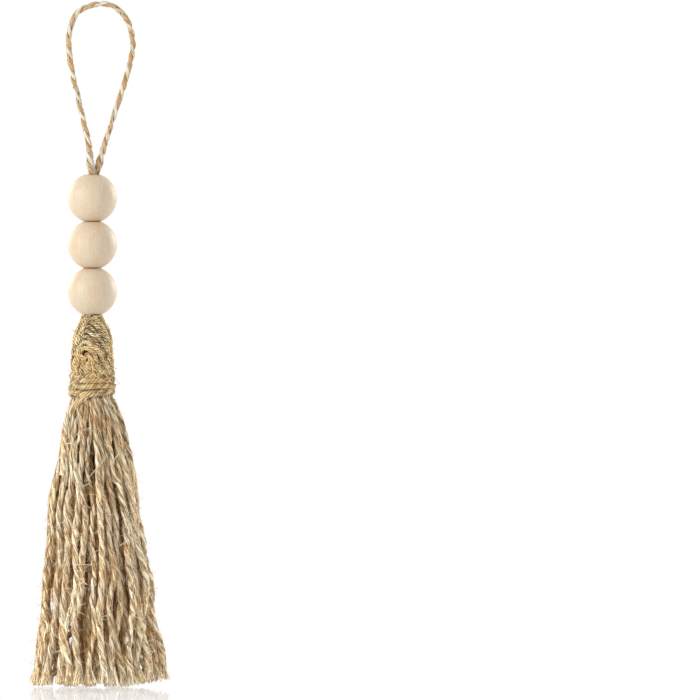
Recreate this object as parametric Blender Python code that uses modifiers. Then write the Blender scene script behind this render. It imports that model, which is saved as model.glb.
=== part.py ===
"""A jute tassel with three wooden beads threaded on its hanging loop.

The tassel is a hank of twine folded over to a round head. A few turns of the same twine close its neck, and
the cut strands flare out below as a skirt, which the tassel stands on. A thin two-ply cord comes out of the head,
runs up through the beads, makes the hanging loop and comes back down beside itself.
Metres, +Z up, seen from -Y. The origin is in the middle of the skirt's foot, on the surface.
"""

import math

import bmesh
import bpy
from mathutils import Vector

MM = 0.001
GAP = 0.3 * MM  # between pieces that touch on the real object
WELD = 0.01 * MM  # points closer than this are one
CURVE_PIECES = 24  # straight pieces between two points of a smooth curve, before it is spaced evenly

# The head and the beads share one upright axis, a little left of the skirt's foot.
AXIS_X = -3.0 * MM

# Beads
BEAD_NAMES = ("bead_bottom", "bead_middle", "bead_top")
BEAD_DIAMETER = 18.0 * MM
BEAD_HEIGHT = 16.7 * MM  # between the flats round its bore
BEAD_BORE_RADIUS = 2.6 * MM
BEAD_RIM_ROUND = 0.25 * MM
BEAD_STEPS = 24
BEAD_ARC_POINTS = 11
BEAD_TILTS = (0.6, -0.9, 0.7)  # degrees that each bead leans to the side

# Head, neck and collar of roots below the neck: height, radius, depth of the grooves between strands, and how
# much higher the row is on its right side and at its back
HEAD_TOP = 135.0 * MM
HEAD_ROWS_MM = (
    (99.6, 6.2, 0.0, 0.0, 0.0),
    (100.2, 7.0, 0.4, 0.1, 0.0),
    (102.4, 7.2, 0.5, 0.3, -0.2),
    (104.4, 7.3, 0.5, 0.55, -0.5),
    (104.65, 5.8, 0.0, 0.55, -0.5),
    (114.85, 5.8, 0.0, 0.55, 0.5),
    (115.1, 7.3, 0.5, 0.55, 0.5),
    (116.4, 8.1, 0.6, 0.4, 0.3),
    (118.6, 8.3, 0.6, 0.2, 0.1),
    (121.0, 8.1, 0.6, 0.0, 0.0),
    (123.6, 7.6, 0.6, 0.0, 0.0),
    (125.8, 7.2, 0.6, 0.0, 0.0),
    (127.6, 6.9, 0.6, 0.0, 0.0),
    (129.3, 6.5, 0.6, 0.0, 0.0),
    (131.2, 5.8, 0.5, 0.0, 0.0),
    (133.2, 4.7, 0.4, 0.0, 0.0),
    (135.0, 3.5, 0.2, 0.0, 0.0),
)
HEAD_STRANDS = 16
HEAD_SWIRL = math.radians(-2.2) / MM  # turn of the strands round the head, for each metre of height
POINTS_PER_STRAND = 3
NECK_MIDDLE = 109.75 * MM
NECK_RADIUS = 5.8 * MM
POCKET_RADIUS = BEAD_BORE_RADIUS  # the pocket where the cord's two legs go into the head
POCKET_DEPTH = 6.5 * MM
EYE = Vector((-2.1, 0.0, 128.6)) * MM  # the dark eye of the fold, on the front; X is from the axis
EYE_DEPTH = 3.2 * MM
EYE_REACH = 1.6 * MM
EYE_TALL = 1.4  # its height over its width

# Skirt: height, outer radius, sideways place of the middle, width of a strand
STRANDS = 56
GOLDEN_ANGLE = math.pi * (3.0 - math.sqrt(5.0))
FIRST_ANGLE = math.radians(60.0)
SKIRT_ROWS_MM = (
    (104.0, 6.4, -3.0, 0.8),
    (101.5, 8.8, -2.9, 1.05),
    (98.0, 10.4, -2.6, 1.2),
    (90.5, 12.3, -2.5, 1.5),
    (79.0, 14.3, -2.3, 1.75),
    (66.0, 17.0, -1.9, 2.1),
    (52.0, 18.9, -1.2, 2.2),
    (37.0, 20.4, -1.3, 2.3),
    (21.0, 22.5, -1.1, 2.3),
    (6.0, 24.5, -0.69, 2.4),
    (0.0, 25.0, -0.69, 2.9),
)
SWAY_MM = 0.55  # how far a strand wanders to each side on its way down
SWAY_ACROSS_MM = (13.0, 7.0)  # for its sideways waves: millimetres a radian down the skirt, and across it
SWAY_ALONG_MM = (9.0, 6.0)  # the same for its waves front to back
SWAY_FULL_ROW = 5  # the row from which a strand sways in full
FOOT_STEP = 2.4 * MM  # how much higher than the foot the shortest strands end
FOOT_RHYTHM = 7.44  # turns the strand's number into an uneven rise, none for half of the strands
STRAND_TWIST = math.radians(38.0)  # from one row to the next

# Neck wrap: the twine wound round the neck
TWINE_RADIUS = 1.03 * MM
TWINE_WAIST = 0.85  # the narrow way across the two plies, over the wide one
WRAP_TURNS = 4.0
WRAP_START = math.radians(90.0)
WRAP_PITCH = 2.15 * MM
WRAP_STEP = 1.85 * MM

# Twisted twine and cord: points round the outline of the two plies
SECTION_POINTS = 6

# Hanging cord: its radius and the places that its middle passes
CORD_RADIUS = 0.95 * MM
CORD_WAIST = 0.6
CORD_STEP = 1.4 * MM
PLY_TURN = math.radians(55.0)  # from one step to the next
CORD_ROUTE_MM = (
    (-3.7, -0.9, 129.0),
    (-3.7, -0.9, 140.0),
    (-3.6, -0.9, 155.0),
    (-3.6, -0.9, 170.0),
    (-3.5, -0.9, 183.0),
    (-3.4, -1.0, 188.0),
    (-4.3, -1.1, 197.5),
    (-6.3, -0.9, 206.5),
    (-9.3, -0.5, 218.8),
    (-11.3, -0.1, 229.8),
    (-11.3, 0.2, 238.0),
    (-8.2, 0.3, 245.2),
    (-1.4, 0.3, 248.1),
    (5.0, 0.2, 247.2),
    (9.9, 0.1, 242.0),
    (11.8, 0.1, 233.6),
    (9.9, 0.3, 223.4),
    (5.9, 0.7, 210.8),
    (2.5, 1.0, 200.4),
    (-0.5, 1.1, 190.5),
    (-2.1, 1.0, 185.0),
    (-2.4, 0.9, 176.0),
    (-2.4, 0.9, 160.0),
    (-2.4, 0.9, 143.0),
    (-2.4, 0.9, 129.0),
)

JUTE = (0.60, 0.44, 0.26)
JUTE_GOLD = (0.62, 0.43, 0.21)
PALE_WOOD = (0.87, 0.73, 0.55)


def clear_scene():
    for obj in list(bpy.data.objects):
        bpy.data.objects.remove(obj, do_unlink=True)


def new_collection(name):
    collection = bpy.data.collections.new(name)
    bpy.context.scene.collection.children.link(collection)
    return collection


def material(name, colour, roughness):
    made = bpy.data.materials.new(name)
    made.use_nodes = True
    shader = made.node_tree.nodes["Principled BSDF"]
    shader.inputs["Base Color"].default_value = (*colour, 1.0)
    shader.inputs["Roughness"].default_value = roughness
    shader.inputs["Metallic"].default_value = 0.0
    return made


def add_object(name, data, collection, finish=None):
    obj = bpy.data.objects.new(name, data)
    collection.objects.link(obj)
    if finish:
        data.materials.append(finish)
    return obj


def make_guide(obj):
    obj.hide_render = True
    obj.display_type = "WIRE"
    return obj


def along_smooth_curve(points, step):
    """Evenly spaced places on the smooth curve (Catmull-Rom) through the points."""
    ends = [points[0] * 2 - points[1], *points, points[-1] * 2 - points[-2]]
    dense = []
    for before, start, end, after in zip(ends, ends[1:], ends[2:], ends[3:]):
        for k in range(CURVE_PIECES):
            t = k / CURVE_PIECES
            dense.append(
                0.5
                * (
                    2 * start
                    + (end - before) * t
                    + (2 * before - 5 * start + 4 * end - after) * t**2
                    + (3 * start - before - 3 * end + after) * t**3
                )
            )
    dense.append(points[-1])
    length = sum((b - a).length for a, b in zip(dense, dense[1:]))
    count = round(length / step)
    places, travelled, target = [dense[0]], 0.0, length / count
    for a, b in zip(dense, dense[1:]):
        piece = (b - a).length
        while travelled + piece >= target * len(places) and len(places) < count:
            places.append(a.lerp(b, (target * len(places) - travelled) / piece))
        travelled += piece
    return [*places, dense[-1]]


def two_ply_section(name, radius, waist, guides):
    """The outline of two plies side by side, which a twisted cord carries along its path."""
    outline = bpy.data.curves.new(name, "CURVE")
    outline.dimensions = "2D"
    outline.fill_mode = "NONE"
    spline = outline.splines.new("POLY")
    spline.points.add(SECTION_POINTS - 1)
    for k, point in enumerate(spline.points):
        angle = -math.tau * k / SECTION_POINTS
        reach = radius * (1 + waist) / 2 + radius * (1 - waist) / 2 * math.cos(2 * angle)
        point.co = (reach * math.cos(angle), reach * math.sin(angle), 0.0, 1.0)
    spline.use_cyclic_u = True
    return make_guide(add_object(name, outline, guides))


def twisted_cord(name, places, section, collection, finish):
    """A two-ply cord along the places, as one solid that turns by the same angle at each step."""
    path = bpy.data.curves.new(name, "CURVE")
    path.dimensions = "3D"
    path.resolution_u = 1
    path.render_resolution_u = 0
    path.bevel_mode = "OBJECT"
    path.bevel_object = section
    path.use_fill_caps = True
    spline = path.splines.new("POLY")
    spline.points.add(len(places) - 1)
    for k, place in enumerate(places):
        spline.points[k].co = (*place, 1.0)
        spline.points[k].tilt = -k * PLY_TURN
    return add_object(name, path, collection, finish)


def bead_profile():
    """The outer side from the top flat down to the bottom one, then up the bore."""
    radius = BEAD_DIAMETER / 2
    half = BEAD_HEIGHT / 2
    flat_angle = math.asin(half / radius)
    profile = [(BEAD_BORE_RADIUS + BEAD_RIM_ROUND, half)]
    for k in range(BEAD_ARC_POINTS):
        angle = flat_angle * (1 - 2 * k / (BEAD_ARC_POINTS - 1))
        profile.append((radius * math.cos(angle), radius * math.sin(angle)))
    profile.append((BEAD_BORE_RADIUS + BEAD_RIM_ROUND, -half))
    profile.append((BEAD_BORE_RADIUS, -half + BEAD_RIM_ROUND))
    profile.append((BEAD_BORE_RADIUS, half - BEAD_RIM_ROUND))
    return profile


def build_beads(collection, finish):
    mesh = bpy.data.meshes.new("bead")
    shape = bmesh.new()
    ring = [shape.verts.new((r, 0.0, z)) for r, z in bead_profile()]
    for a, b in zip(ring, ring[1:] + ring[:1]):
        shape.edges.new((a, b))
    shape.to_mesh(mesh)
    shape.free()
    mesh.materials.append(finish)
    for k, (name, tilt) in enumerate(zip(BEAD_NAMES, BEAD_TILTS)):
        bead = add_object(name, mesh, collection)
        middle = HEAD_TOP + GAP + BEAD_HEIGHT / 2 + k * (BEAD_HEIGHT + GAP)
        bead.location = (AXIS_X, 0.0, middle)
        bead.rotation_euler.y = math.radians(tilt)
        turn = bead.modifiers.new("Turn", "SCREW")
        turn.angle = math.tau
        turn.steps = turn.render_steps = BEAD_STEPS
        turn.use_merge_vertices = True
        turn.merge_threshold = WELD
        turn.use_smooth_shade = True


def head_reach(angle, height, radius, groove, column):
    """How far the head's surface is from the axis: grooves between strands, and the eye of the fold."""
    reach = radius - (groove if column % POINTS_PER_STRAND == 0 else 0.0)
    if math.sin(angle) < 0 and groove:
        aside = reach * math.cos(angle) - EYE.x
        away = math.hypot(aside, (height - EYE.z) / EYE_TALL) / EYE_REACH
        reach -= EYE_DEPTH * math.exp(-(away**2))
    return reach


def head_ring(shape, height, radius, groove=0.0, right=0.0, back=0.0):
    count = HEAD_STRANDS * POINTS_PER_STRAND
    ring = []
    for column in range(count):
        angle = math.tau * column / count + HEAD_SWIRL * (height - NECK_MIDDLE)
        reach = head_reach(angle, height, radius, groove, column)
        across, along = math.cos(angle), math.sin(angle)
        lifted = height + right * across + back * along
        ring.append(shape.verts.new((AXIS_X + reach * across, reach * along, lifted)))
    return ring


def build_head(collection, finish):
    """Head, neck and ring of roots as one lofted body, with the pocket for the cord in its top."""
    shape = bmesh.new()
    rings = [head_ring(shape, *(value * MM for value in row)) for row in HEAD_ROWS_MM]
    for height in (HEAD_TOP, HEAD_TOP - POCKET_DEPTH):
        rings.append(head_ring(shape, height, POCKET_RADIUS))
    for low, high in zip(rings, rings[1:]):
        for k in range(len(low)):
            after = (k + 1) % len(low)
            shape.faces.new((low[k], low[after], high[after], high[k]))
    shape.faces.new(rings[0][::-1])
    shape.faces.new(rings[-1])
    bmesh.ops.triangulate(shape, faces=shape.faces)
    mesh = bpy.data.meshes.new("tassel")
    shape.to_mesh(mesh)
    shape.free()
    return add_object("tassel", mesh, collection, finish)


def strand_places(index):
    """The middle and the width of one strand at each row of the skirt, from its root down to its foot."""
    share = math.sqrt((index + 0.5) / STRANDS)
    angle = FIRST_ANGLE + index * GOLDEN_ANGLE
    rise = max(0.0, math.sin(index * FOOT_RHYTHM)) * FOOT_STEP
    places = []
    for k, (z, radius, middle, width) in enumerate(SKIRT_ROWS_MM):
        reach = share * (radius - width / 2)
        drift = SWAY_MM * min(k / SWAY_FULL_ROW, 1.0)
        x = middle + reach * math.cos(angle)
        y = reach * math.sin(angle)
        x += drift * math.sin(z / SWAY_ACROSS_MM[0] + y / SWAY_ACROSS_MM[1])
        y += drift * math.sin(z / SWAY_ALONG_MM[0] + x / SWAY_ALONG_MM[1])
        places.append([Vector((x, y, z)) * MM, width * MM])
    foot, above = places[-1][0], places[-2][0]
    foot.x, foot.y = above.x, above.y
    foot.z += rise
    above.z += rise
    return places


def build_strands(guides):
    """All the strands as four-sided tubes, made one mesh so that they can be joined to the head."""
    path = bpy.data.curves.new("strands", "CURVE")
    path.dimensions = "3D"
    path.resolution_u = 1
    path.render_resolution_u = 0
    path.bevel_depth = MM
    path.bevel_resolution = 0
    path.use_fill_caps = True
    for index in range(STRANDS):
        places = strand_places(index)
        spline = path.splines.new("POLY")
        spline.points.add(len(places) - 1)
        for k, (place, width) in enumerate(places):
            spline.points[k].co = (*place, 1.0)
            spline.points[k].radius = width / 2 * math.sqrt(2.0) / MM
            spline.points[k].tilt = -k * STRAND_TWIST + index
    drawn = add_object("strand_paths", path, guides)
    bpy.context.view_layer.update()
    mesh = bpy.data.meshes.new_from_object(drawn.evaluated_get(bpy.context.evaluated_depsgraph_get()))
    bpy.data.objects.remove(drawn)
    shape = bmesh.new()
    shape.from_mesh(mesh)
    bmesh.ops.remove_doubles(shape, verts=shape.verts, dist=WELD)
    bmesh.ops.recalc_face_normals(shape, faces=shape.faces)
    bmesh.ops.triangulate(shape, faces=shape.faces)
    shape.to_mesh(mesh)
    shape.free()
    return make_guide(add_object("strands", mesh, guides))


def join(obj, other):
    union = obj.modifiers.new("Join " + other.name, "BOOLEAN")
    union.operation = "UNION"
    union.solver = "EXACT"
    union.object = other


def wrap_places():
    """A helix round the neck, low at its start, that rises to the right across the front."""
    radius = NECK_RADIUS + GAP + TWINE_RADIUS
    count = round(WRAP_TURNS * math.tau * radius / WRAP_STEP)
    rise = WRAP_TURNS * WRAP_PITCH
    lowest = NECK_MIDDLE - rise / 2
    places = []
    for k in range(count + 1):
        angle = WRAP_START + math.tau * WRAP_TURNS * k / count
        height = lowest + rise * k / count
        places.append(Vector((AXIS_X + radius * math.cos(angle), radius * math.sin(angle), height)))
    return places


def main():
    clear_scene()
    parts = new_collection("Jute tassel")
    guides = new_collection("Guides")

    build_beads(parts, material("Pale wood", PALE_WOOD, 0.6))

    tassel = build_head(parts, material("Jute twine", JUTE, 0.9))
    join(tassel, build_strands(guides))

    twine = two_ply_section("twine_section", TWINE_RADIUS, TWINE_WAIST, guides)
    twisted_cord("neck_wrap", wrap_places(), twine, parts, material("Wound jute", JUTE, 0.9))

    route = [Vector(point) * MM for point in CORD_ROUTE_MM]
    thin = two_ply_section("cord_section", CORD_RADIUS, CORD_WAIST, guides)
    places = along_smooth_curve(route, CORD_STEP)
    twisted_cord("hanging_cord", places, thin, parts, material("Jute cord", JUTE_GOLD, 0.85))


main()
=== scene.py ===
# %% [markdown]
# # A jute tassel with three wooden beads
#
# A hank of jute twine is folded over the end of a thin cord, bound round its neck and cut
# off below, so that its strands flare into a skirt. The cord runs up through three turned
# beads and makes the loop that the tassel hangs by.
#
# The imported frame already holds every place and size. This lesson dresses it: Geometry
# Nodes twist the yarn, open its cut ends and raise its loose fibres, and the beads are
# turned from a profile.

# %% Load the frame
import math

import bmesh
import bpy
import numpy as np
from mathutils import Matrix, Vector


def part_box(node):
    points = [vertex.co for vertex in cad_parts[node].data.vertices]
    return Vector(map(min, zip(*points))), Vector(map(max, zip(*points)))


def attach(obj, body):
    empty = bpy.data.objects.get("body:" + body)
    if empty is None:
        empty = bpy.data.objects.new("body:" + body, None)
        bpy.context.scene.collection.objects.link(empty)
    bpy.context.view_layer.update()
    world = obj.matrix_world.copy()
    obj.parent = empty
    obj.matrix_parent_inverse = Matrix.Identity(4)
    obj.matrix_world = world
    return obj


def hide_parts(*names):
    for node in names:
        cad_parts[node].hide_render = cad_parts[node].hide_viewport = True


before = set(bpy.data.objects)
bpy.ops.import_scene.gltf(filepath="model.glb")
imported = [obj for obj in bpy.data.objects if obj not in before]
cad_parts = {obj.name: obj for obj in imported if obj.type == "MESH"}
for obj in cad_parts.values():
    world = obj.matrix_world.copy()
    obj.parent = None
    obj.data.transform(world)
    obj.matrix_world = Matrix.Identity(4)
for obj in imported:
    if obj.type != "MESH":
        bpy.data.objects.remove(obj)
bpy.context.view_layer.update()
print("nodes:", sorted(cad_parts))

# %% [markdown]
# ## The camera
#
# The photograph looks straight at the tassel with a long lens, so the beads' flats show
# as lines and the cut foot is nearly level. The tassel stands left of the middle, so the
# level camera stands to its right.

# %% Place the camera
MM = 0.001
LENS_MM = 600.0
SENSOR_MM = 36.0
VIEW_WIDTH = 254.5 * MM  # what the picture is wide at the tassel
VIEW_MIDDLE = Vector((90.7, 0.0, 122.4)) * MM
scene = bpy.context.scene


def add(name, data):
    """A new object at the origin that holds the mesh, curve, lamp or camera."""
    made = bpy.data.objects.new(name, data)
    scene.collection.objects.link(made)
    return made


lens = bpy.data.cameras.new("camera")
lens.lens = LENS_MM
lens.sensor_width = SENSOR_MM
camera = add("camera", lens)
camera.location = VIEW_MIDDLE - Vector((0.0, VIEW_WIDTH * LENS_MM / SENSOR_MM, 0.0))
camera.rotation_euler = (math.radians(90), 0.0, 0.0)
scene.camera = camera
print("camera distance in m:", round(-camera.location.y, 3))

# %% [markdown]
# ## The hanging cord's route
#
# The cord starts in the head, climbs through the beads' bores, opens into a drop-shaped
# loop and comes back down beside itself. Its places are the same as in the frame, and a
# Catmull-Rom curve runs smoothly through them. Short tables like this one are texts with
# a comma between the rows.

# %% The route in the row frame
def table(text):
    """The rows of numbers in a text that has a comma between the rows."""
    return [tuple(float(word) for word in row.split()) for row in text.split(",")]


CORD_ROUTE_MM = table("""
    -3.7 -0.9 129, -3.7 -0.9 140, -3.6 -0.9 155, -3.6 -0.9 170, -3.5 -0.9 183, -3.4 -1.0 188,
    -4.3 -1.1 197.5, -6.3 -0.9 206.5, -9.3 -0.5 218.8, -11.3 -0.1 229.8, -11.3 0.2 238,
    -8.2 0.3 245.2, -1.4 0.3 248.1, 5.0 0.2 247.2, 9.9 0.1 242, 11.8 0.1 233.6, 9.9 0.3 223.4,
    5.9 0.7 210.8, 2.5 1.0 200.4, -0.5 1.1 190.5, -2.1 1.0 185, -2.4 0.9 176, -2.4 0.9 160,
    -2.4 0.9 143, -2.4 0.9 129""")
SMOOTH_PIECES = 8


def smooth(points, pieces=SMOOTH_PIECES):
    """Places on the smooth curve through the points, so many between each two of them."""
    ends = [points[0] * 2 - points[1], *points, points[-1] * 2 - points[-2]]
    places = []
    for before, start, end, after in zip(ends, ends[1:], ends[2:], ends[3:]):
        for t in (k / pieces for k in range(pieces)):
            bend = 2 * before - 5 * start + 4 * end - after
            twist = 3 * start - before - 3 * end + after
            places.append(0.5 * (2 * start + (end - before) * t + bend * t**2 + twist * t**3))
    return [*places, points[-1]]


def length_of(places):
    return sum((b - a).length for a, b in zip(places, places[1:]))


cord_places = smooth([Vector(point) * MM for point in CORD_ROUTE_MM])
print("cord in mm:", round(length_of(cord_places) / MM, 1))

# %% [markdown]
# ## Short words for nodes
#
# A tree built line by line in a script is long, so a few helpers keep it readable. `put`
# adds a node to the tree that was started last and fills its inputs in order: a socket
# is linked and a value is set. It returns the node's first output, so that calls nest
# like a formula.

# %% Helpers for node trees
SOCKET_KINDS = {float: "NodeSocketFloat", int: "NodeSocketInt", type(None): "NodeSocketMaterial"}
TREES = []  # in the order they were started


def put(kind, *values, **settings):
    """A new node with these settings and inputs, where None leaves an input as it is."""
    tree = TREES[-1]
    node = tree.nodes.new(kind)
    for name, value in settings.items():
        setattr(node, name, value)
    for socket, value in zip([s for s in node.inputs if s.enabled], values):
        if isinstance(value, bpy.types.NodeSocket):
            tree.links.new(value, socket)
        elif value is not None:
            socket.default_value = value
    return next((s for s in node.outputs if s.enabled), None)


def geo(kind, *values, **settings):
    return put("GeometryNode" + kind, *values, **settings)


def shade(kind, *values, **settings):
    return put("ShaderNode" + kind, *values, **settings)


def calc(operation, *values):
    return shade("Math", *values, operation=operation)


def product(value, *factors):
    for factor in factors:
        value = calc("MULTIPLY", value, factor)
    return value


def scale_add(value, factor, more):
    return calc("MULTIPLY_ADD", value, factor, more)


def vector(operation, *values):
    return shade("VectorMath", *values, operation=operation)


def xyz(*values):
    return shade("CombineXYZ", *values)


def noise(place, scale, detail=1.0, roughness=0.5):
    return shade("TexNoise", place, scale, detail, roughness)


def new_tree(name, **sizes):
    """Starts a Geometry Nodes tree. Its inputs are the geometry, each size and the finish."""
    tree = bpy.data.node_groups.new(name, "GeometryNodeTree")
    TREES.append(tree)
    new_socket = tree.interface.new_socket
    new_socket("Geometry", in_out="INPUT", socket_type="NodeSocketGeometry")
    for label, value in {**sizes, "Finish": None}.items():
        socket = new_socket(label, in_out="INPUT", socket_type=SOCKET_KINDS[type(value)])
        if value is not None:
            socket.default_value = value
    new_socket("Geometry", in_out="OUTPUT", socket_type="NodeSocketGeometry")
    return tree.nodes.new("NodeGroupInput").outputs


# %% Helpers for geometry
VECTOR = "FLOAT_VECTOR"
RANDOM_REACH = (90.0, 90.0, 90.0)


def keep(geometry, name, value, kind="FLOAT", domain="POINT"):
    """Stores a value on the geometry under a name."""
    return geo("StoreNamedAttribute", geometry, None, name, value, data_type=kind, domain=domain)


def kept(name, kind="FLOAT"):
    return geo("InputNamedAttribute", name, data_type=kind)


def chance(low, high, number, seed, kind="FLOAT"):
    """A random value for each number."""
    return put("FunctionNodeRandomValue", low, high, number, seed, data_type=kind)


def any_place(number, seed):
    """A random place for each number, so that no two fibres get the same streaks."""
    return chance((0.0, 0.0, 0.0), RANDOM_REACH, number, seed, VECTOR)


def own_number(domain):
    """The place of each curve, or of each point, in its list."""
    return geo("FieldOnDomain", geo("InputIndex"), domain=domain, data_type="INT")


def along(fact="Factor"):
    return geo("SplineParameter").node.outputs[fact]


def position():
    return geo("InputPosition")


def move(geometry, place=None, shift=None):
    """Moves the points to a place, or by a shift."""
    return geo("SetPosition", geometry, None, place, shift)


def circle(sides):
    return geo("CurvePrimitiveCircle", sides, 1.0)


def sweep(paths, ring, thick):
    """A closed mesh along each path, with the ring for its section."""
    return geo("CurveToMesh", paths, ring, thick, True)


def end_tree(geometry, given):
    """Smooth shading, then the two nodes that every tree here ends in."""
    geometry = geo("RealizeInstances", geo("SetShadeSmooth", geometry))
    put("NodeGroupOutput", geo("SetMaterial", geometry, None, given["Finish"]))
    return TREES[-1]


# %% Grow a mesh from curves or from another mesh
def draw_paths(name, paths, radii):
    """One curve object with a straight-sided spline for each path, thick as its radii say."""
    curve = bpy.data.curves.new(name, "CURVE")
    curve.dimensions = "3D"
    for places, thick in zip(paths, radii):
        spline = curve.splines.new("POLY")
        spline.points.add(len(places) - 1)
        for point, place, radius in zip(spline.points, places, thick):
            point.co = (*place, 1.0)
            point.radius = radius
    return add(name + "_paths", curve)


def even(thick, paths):
    """The same radius at every place of the paths."""
    return [[thick] * len(places) for places in paths]


def plain_mesh(thing):
    """What the object's modifiers make of it, as a mesh."""
    bpy.context.view_layer.update()
    seen = thing.evaluated_get(bpy.context.evaluated_depsgraph_get())
    return bpy.data.meshes.new_from_object(seen)


def grow(name, start, tree, keep_start=False, **sizes):
    """Runs the tree on the start object and returns the result as a plain mesh object."""
    modifier = start.modifiers.new(tree.name, "NODES")
    modifier.node_group = tree
    for item in tree.interface.items_tree:
        if item.in_out == "INPUT" and item.name in sizes:
            modifier[item.identifier] = sizes[item.name]
    mesh = plain_mesh(start)
    start.modifiers.remove(modifier)
    if not keep_start:
        bpy.data.objects.remove(start)
    mesh.name = name
    mesh.calc_loop_triangles()
    print(f"{name}: {len(mesh.loop_triangles)} triangles")
    return add(name, mesh)


# %% [markdown]
# ## Twisted yarn
#
# Jute twine is two plies of coarse fibre laid round each other. One tree makes all the yarn
# here. It copies each path once for each ply, turns the curve's own normal as it runs along,
# moves the copy out along that normal, and sweeps a fluted ring along it. The flutes lean
# with the twist, as in softly spun twine.
#
# Three attributes go with the mesh for the finish. `fibre` is a place in the yarn's own
# space, so that streaks follow the ply. `tone` differs from ply to ply. `crest` is how far
# out from the yarn's middle a place lies, so that the finish can paint shade, darker and
# browner, into the furrow between the plies.
# The noise that colours the streaks also lifts the surface a little, so pale fibres stand
# proud.

# %% The yarn tree
FIBRE_STRETCH = 9.0 * MM  # how much yarn is one unit of the streaks' own length
RIDGE_SCALE = 2.5  # fibre bundles round a ply, in the yarn's own space
WANDER_EACH = 14.0 * MM  # how much yarn the slow changes of its twist take
STRAY_EACH = 9.0 * MM
LOOSE_EACH = 5.0 * MM
SWELL_EACH = 4.0 * MM
WANDER_TURN = 3.0  # radians
MOST_PLIES = 7.0  # so that every ply of every strand has a number of its own
TONES_APART = (0.78, 0.22)  # how much of the tone is the strand's, and how much the ply's


def fluted_ring(given):
    """The ply's section: a ring of radius 1 whose points stand in by uneven amounts."""
    inwards = chance(0.0, given["Flutes"], own_number("POINT"), given["Seed"])
    place = vector("SCALE", position(), calc("SUBTRACT", 1.0, inwards))
    ring = move(circle(given["Sides"]), place)
    return keep(ring, "ring", position(), VECTOR)


def slow_noise(distance, each, number, seed):
    """Smooth noise from 0 to 1 that changes along the yarn, and is another for each ply."""
    where = scale_add(distance, 1.0 / each, chance(0.0, 500.0, number, seed))
    return shade("TexNoise", where, 1.0, 1.0, noise_dimensions="1D")


def uneven(pattern, amount):
    """About 1, more or less by up to half the amount."""
    return scale_add(calc("SUBTRACT", pattern, 0.5), amount, 1.0)


def yarn_tree():
    given = new_tree(
        "Twisted yarn", Step=1.2 * MM, Plies=2, Twist=-480.0, Spread=0.38, Ply=0.64, Stray=0.0,
        Loose=0.0, Sides=12, Flutes=0.2, Ridge=0.3 * MM, Lay=-350.0, Unevenness=0.3, Contrast=0.0,
        Cut=0.0, Seed=1,
    )
    seed = given["Seed"]
    paths = given["Geometry"]
    end = calc("SUBTRACT", geo("SplineLength"), given["Cut"])
    paths = geo("TrimCurve", paths, None, 0.0, end, mode="LENGTH")
    paths = geo("ResampleCurve", paths, None, given["Step"], mode="LENGTH")
    paths = keep(paths, "along", along("Length"))
    paths = keep(paths, "middle", position(), VECTOR)
    paths = keep(paths, "width", geo("InputRadius"))
    paths = keep(paths, "strand", own_number("CURVE"), "INT", "CURVE")

    copies = geo("DuplicateElements", paths, None, given["Plies"], domain="SPLINE")
    which = copies.node.outputs["Duplicate Index"]
    strand = kept("strand", "INT")
    number = scale_add(strand, MOST_PLIES, which)
    plies = keep(copies, "ply", number, "INT", "CURVE")
    plies = keep(plies, "turn", calc("DIVIDE", which, given["Plies"]))

    distance = kept("along")
    number = kept("ply", "INT")
    turn = scale_add(kept("turn"), math.tau, chance(0.0, math.tau, strand, seed))
    turn = scale_add(distance, given["Twist"], turn)
    turn = scale_add(slow_noise(distance, WANDER_EACH, strand, seed), WANDER_TURN, turn)
    turn = scale_add(slow_noise(distance, STRAY_EACH, number, seed), given["Stray"], turn)
    plies = geo("SetCurveTilt", plies, None, turn)
    radius = geo("InputRadius")
    loose = slow_noise(distance, LOOSE_EACH, number, calc("ADD", seed, 40))
    aside = product(radius, given["Spread"], uneven(loose, given["Loose"]))
    plies = move(plies, shift=vector("SCALE", geo("InputNormal"), aside))

    lay = scale_add(distance, given["Lay"], chance(0.0, math.tau, number, 3))
    plies = geo("SetCurveTilt", plies, None, lay)
    swell = slow_noise(distance, SWELL_EACH, number, seed)
    thick = product(radius, given["Ply"], uneven(swell, given["Unevenness"]))
    mesh = sweep(plies, fluted_ring(given), thick)

    length = xyz(0.0, 0.0, calc("DIVIDE", distance, FIBRE_STRETCH))
    space = vector("ADD", kept("ring", VECTOR), length)
    space = vector("ADD", space, any_place(number, seed))
    mesh = keep(mesh, "fibre", space, VECTOR)
    ridges = noise(kept("fibre", VECTOR), RIDGE_SCALE)
    height = product(calc("SUBTRACT", ridges, 0.5), given["Ridge"])
    mesh = move(mesh, shift=vector("SCALE", geo("InputNormal"), height))
    reach = vector("DISTANCE", position(), kept("middle", VECTOR))
    mesh = keep(mesh, "crest", calc("DIVIDE", reach, kept("width")))
    by_strand, by_ply = TONES_APART
    tone = chance(0.0, by_strand, strand, seed)
    tone = calc("ADD", tone, chance(0.0, by_ply, number, seed))
    tone = shade("Mix", given["Contrast"], tone, kept("turn"), data_type="FLOAT")
    return end_tree(keep(mesh, "tone", tone), given)


YARN = yarn_tree()
print("yarn tree nodes:", len(YARN.nodes))
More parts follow.
